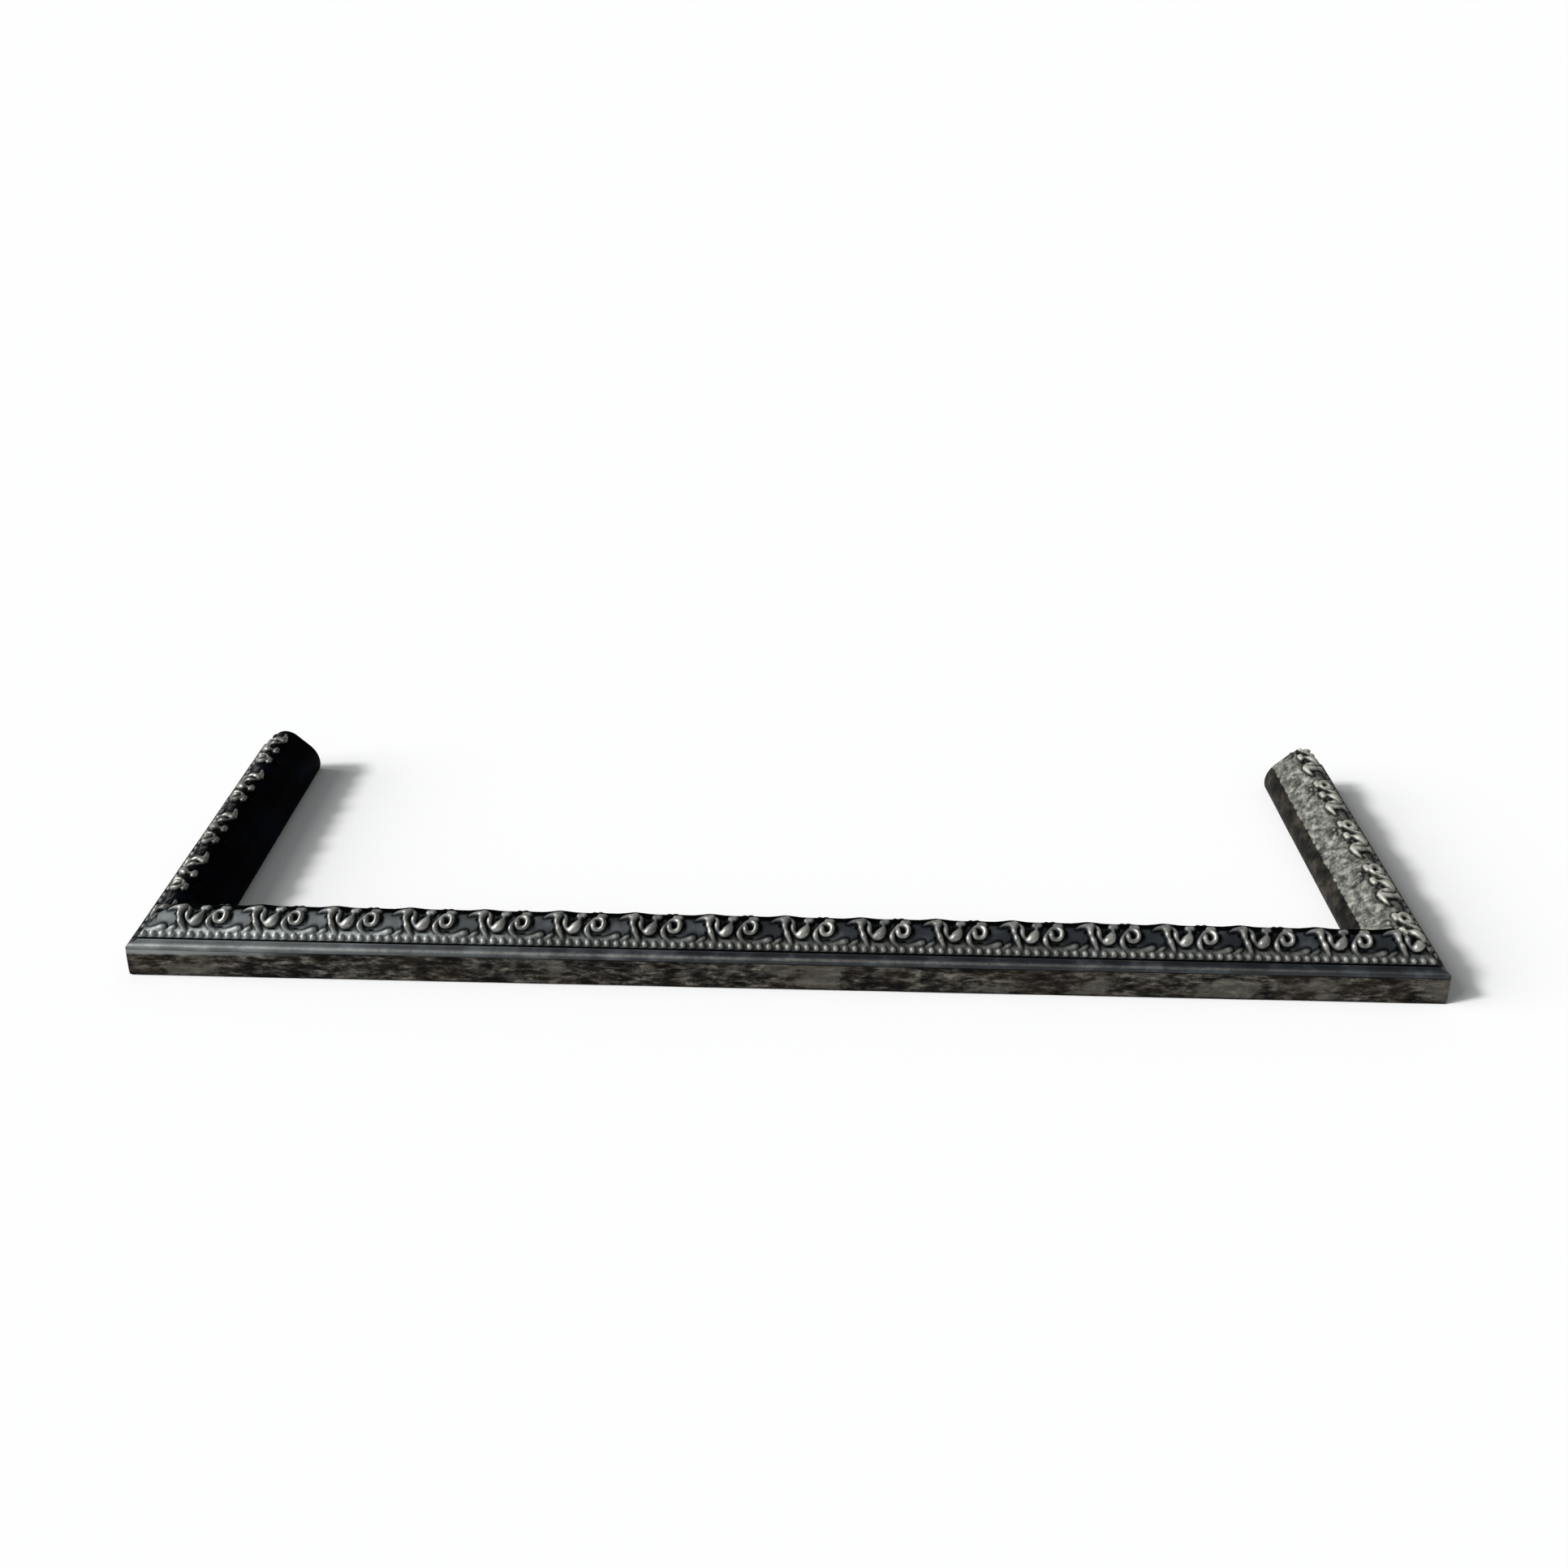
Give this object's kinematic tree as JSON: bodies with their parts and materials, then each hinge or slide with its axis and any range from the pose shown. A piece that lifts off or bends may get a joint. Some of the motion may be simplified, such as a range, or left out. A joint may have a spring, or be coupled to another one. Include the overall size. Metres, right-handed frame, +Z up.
{
  "type": "hearth fender",
  "caption": "Low U-shaped cast-iron hearth fender: a hollow mitred moulding with a plinth, a bead row and a running scroll, joined at the corners by hidden plates.",
  "frame": {"origin": "on the floor, in the middle of the rectangle that the fender covers", "axes": "+X to the right along the front rail, +Y from the front rail towards the fireplace, +Z up"},
  "size_m": [1.32, 0.363, 0.0607],
  "materials": {
    "blackened_cast_iron": "sand-cast, blackleaded, rubbed bright on the high points",
    "wrought_iron": "black scale with light rust",
    "mild_steel": "dull, rust-toned"
  },
  "bodies": {
    "root": {"front_rail": "blackened_cast_iron", "left_return": "blackened_cast_iron", "right_return": "blackened_cast_iron", "left_corner_plate": "wrought_iron", "right_corner_plate": "wrought_iron", "left_corner_washers": "mild_steel", "right_corner_washers": "mild_steel", "left_corner_screws": "mild_steel", "right_corner_screws": "mild_steel"}
  },
  "joints": []
}
